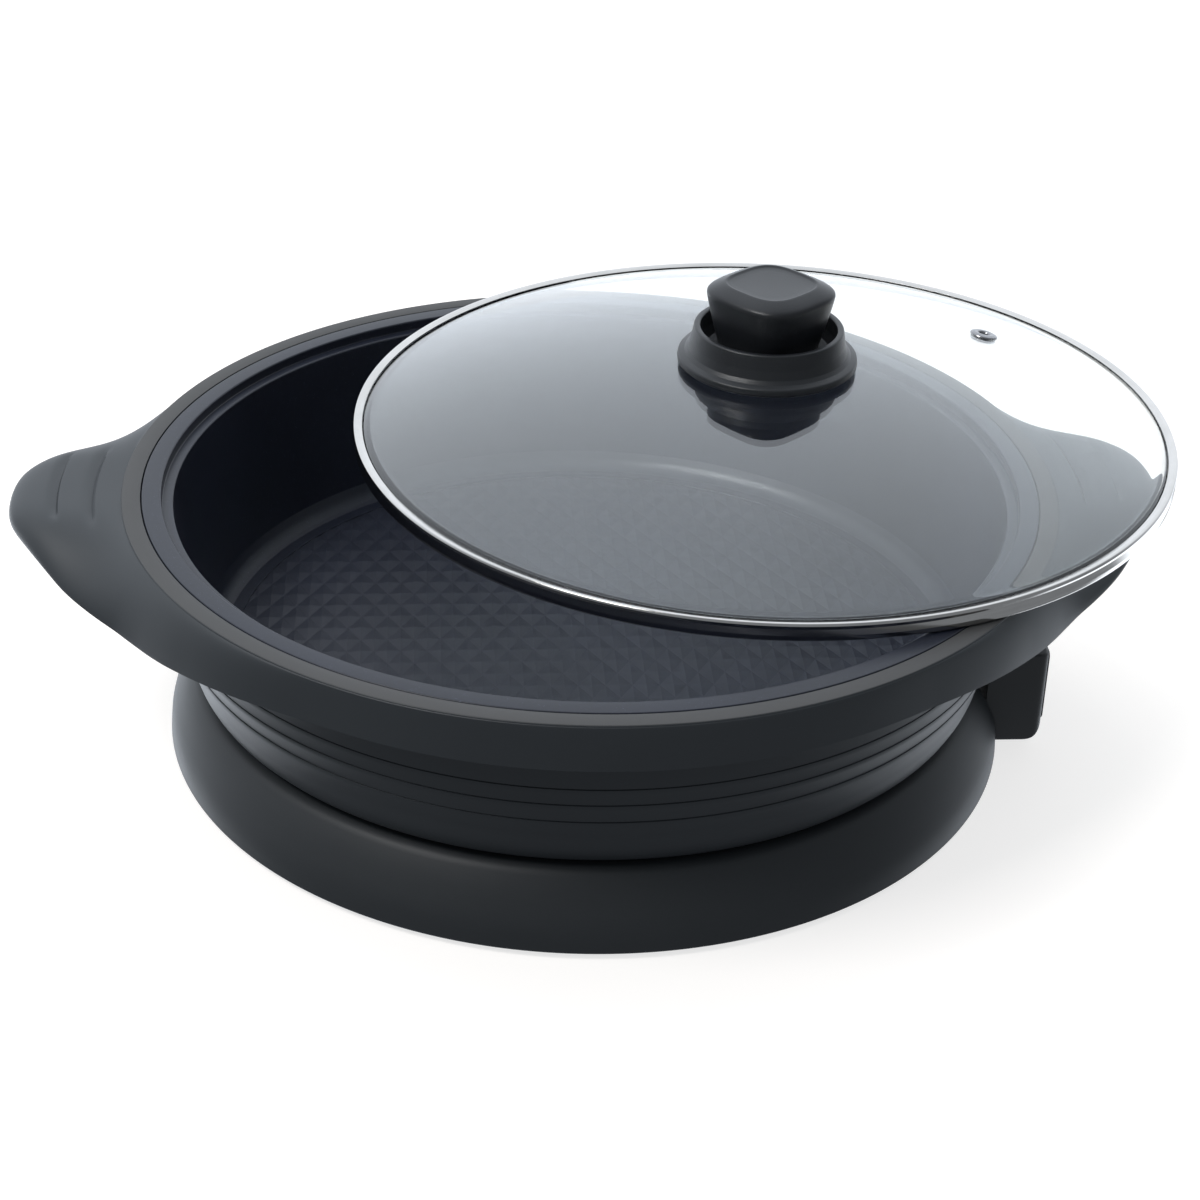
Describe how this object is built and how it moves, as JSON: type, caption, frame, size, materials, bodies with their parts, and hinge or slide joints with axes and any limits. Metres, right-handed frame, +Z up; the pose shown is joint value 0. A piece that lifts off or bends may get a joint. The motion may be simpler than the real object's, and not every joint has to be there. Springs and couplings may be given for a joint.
{
  "type": "electric griddle",
  "caption": "Deep round electric griddle: non-stick pan in a two-handled shell on a heated base with a plug-in socket box, and a domed glass lid with a knob lying ajar.",
  "frame": {"origin": "on the resting plane under the axis of the pan and base, midway between the four feet", "axes": "+Z up; +X along the handles towards the side with the connector box; +Y towards the back"},
  "size_m": [0.4649, 0.385, 0.1747],
  "materials": {
    "nonstick_pan": "cast aluminium with a dark blue-grey speckled non-stick coating",
    "shell_grey": "matte dark grey moulding, satin on the bowl wall",
    "skirt_black": "matte near-black moulding",
    "bottom_black": "matte black moulding",
    "plate_aluminium": "die-cast, machined top",
    "reflector_aluminium": "bright rolled sheet",
    "element_steel": "dull grey sheath",
    "steel_screw": "zinc plated",
    "pin_steel": "nickel plated",
    "probe_brass": "drawn tube",
    "block_ceramic": "unglazed steatite",
    "cutout_black": "dark phenolic body",
    "lead_sleeve": "braided glass-fibre sleeve",
    "foot_rubber": "matte black",
    "lid_glass": "clear tempered glass",
    "rim_steel": "polished stainless steel",
    "knob_black": "fine-grained dark phenolic moulding"
  },
  "bodies": {
    "base": {"base_skirt": "skirt_black", "connector_shroud": "skirt_black", "heating_plate": "plate_aluminium", "heating_element": "element_steel", "heat_reflector": "reflector_aluminium", "plate_posts": "steel_screw", "plate_screws": "steel_screw", "reflector_screws": "steel_screw", "thermal_cutout": "cutout_black", "cutout_clip": "steel_screw", "clip_screws": "steel_screw", "cutout_leads": "lead_sleeve", "terminal_block": "block_ceramic", "terminal_pins": "pin_steel", "probe_tube": "probe_brass", "earth_contact": "pin_steel", "shroud_screws": "steel_screw", "bottom_plate": "bottom_black", "bottom_screws": "steel_screw", "rubber_feet": "foot_rubber"},
    "bowl": {"pan": "nonstick_pan", "outer_shell": "shell_grey", "right_handle_cover": "shell_grey", "left_handle_cover": "shell_grey", "handle_cover_screws": "steel_screw", "pan_screws": "steel_screw"},
    "lid": {"lid_glass": "lid_glass", "lid_rim_band": "rim_steel", "vent_eyelet": "rim_steel", "knob_collar": "knob_black", "knob_grip": "knob_black", "knob_screw": "steel_screw", "knob_washer": "steel_screw", "knob_gasket": "foot_rubber"}
  },
  "joints": [
    {"name": "bowl_lift", "type": "slide", "parent": "base", "child": "bowl", "axis": [0, 0, 1], "range_m": [0, 0.12]},
    {"name": "lid_lift", "type": "slide", "parent": "bowl", "child": "lid", "axis": [0, 0, 1], "range_m": [0, 0.15]}
  ]
}
